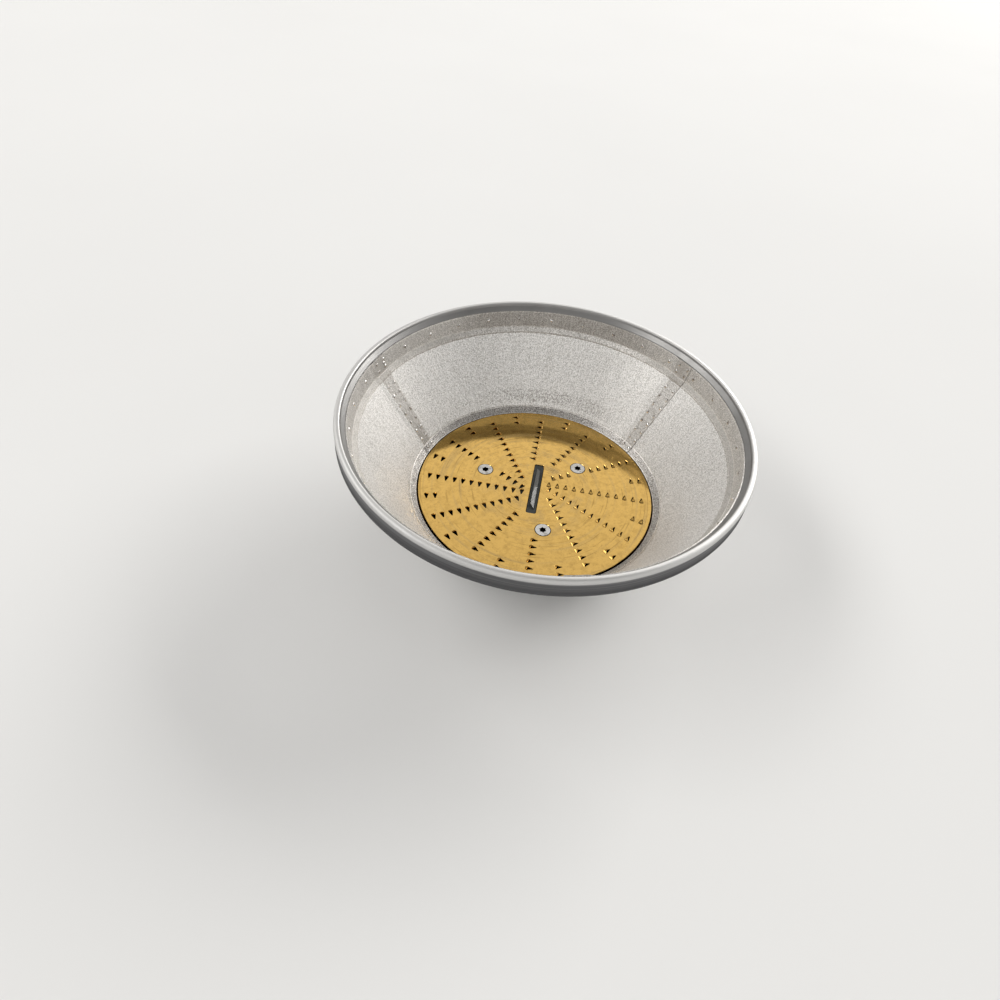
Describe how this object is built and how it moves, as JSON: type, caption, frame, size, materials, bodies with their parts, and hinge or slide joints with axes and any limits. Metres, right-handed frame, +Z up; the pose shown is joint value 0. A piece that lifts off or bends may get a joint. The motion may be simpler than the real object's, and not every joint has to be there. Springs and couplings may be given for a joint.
{
  "type": "juicer mesh screen",
  "caption": "Conical fine-mesh filter basket of a juicer, with a rolled steel rim, a gold toothed cutting disc in its floor and a moulded drive hub below.",
  "frame": {"origin": "on the basket's axis, at the foot of the drive hub", "axes": "+Z up along the axis through the open mouth, +X to the right and +Y to the back of the picture's view"},
  "size_m": [0.178, 0.178, 0.064],
  "materials": {
    "hub_plastic": "moulded, dark green-black",
    "pan_steel": "pressed, satin",
    "disc_gold": "gold hard coating on polished steel, scuffed",
    "knife_steel": "ground",
    "screw_steel": "turned, bright",
    "rim_steel": "rolled, polished",
    "mesh_steel": "finely perforated sheet, satin"
  },
  "bodies": {
    "root": {"drive_hub": "hub_plastic", "base_pan": "pan_steel", "cutting_disc": "disc_gold", "centre_knife": "knife_steel", "disc_screws": "screw_steel", "rim_ring": "rim_steel", "mesh_panel_1": "mesh_steel", "mesh_panel_2": "mesh_steel", "mesh_panel_3": "mesh_steel"}
  },
  "joints": []
}
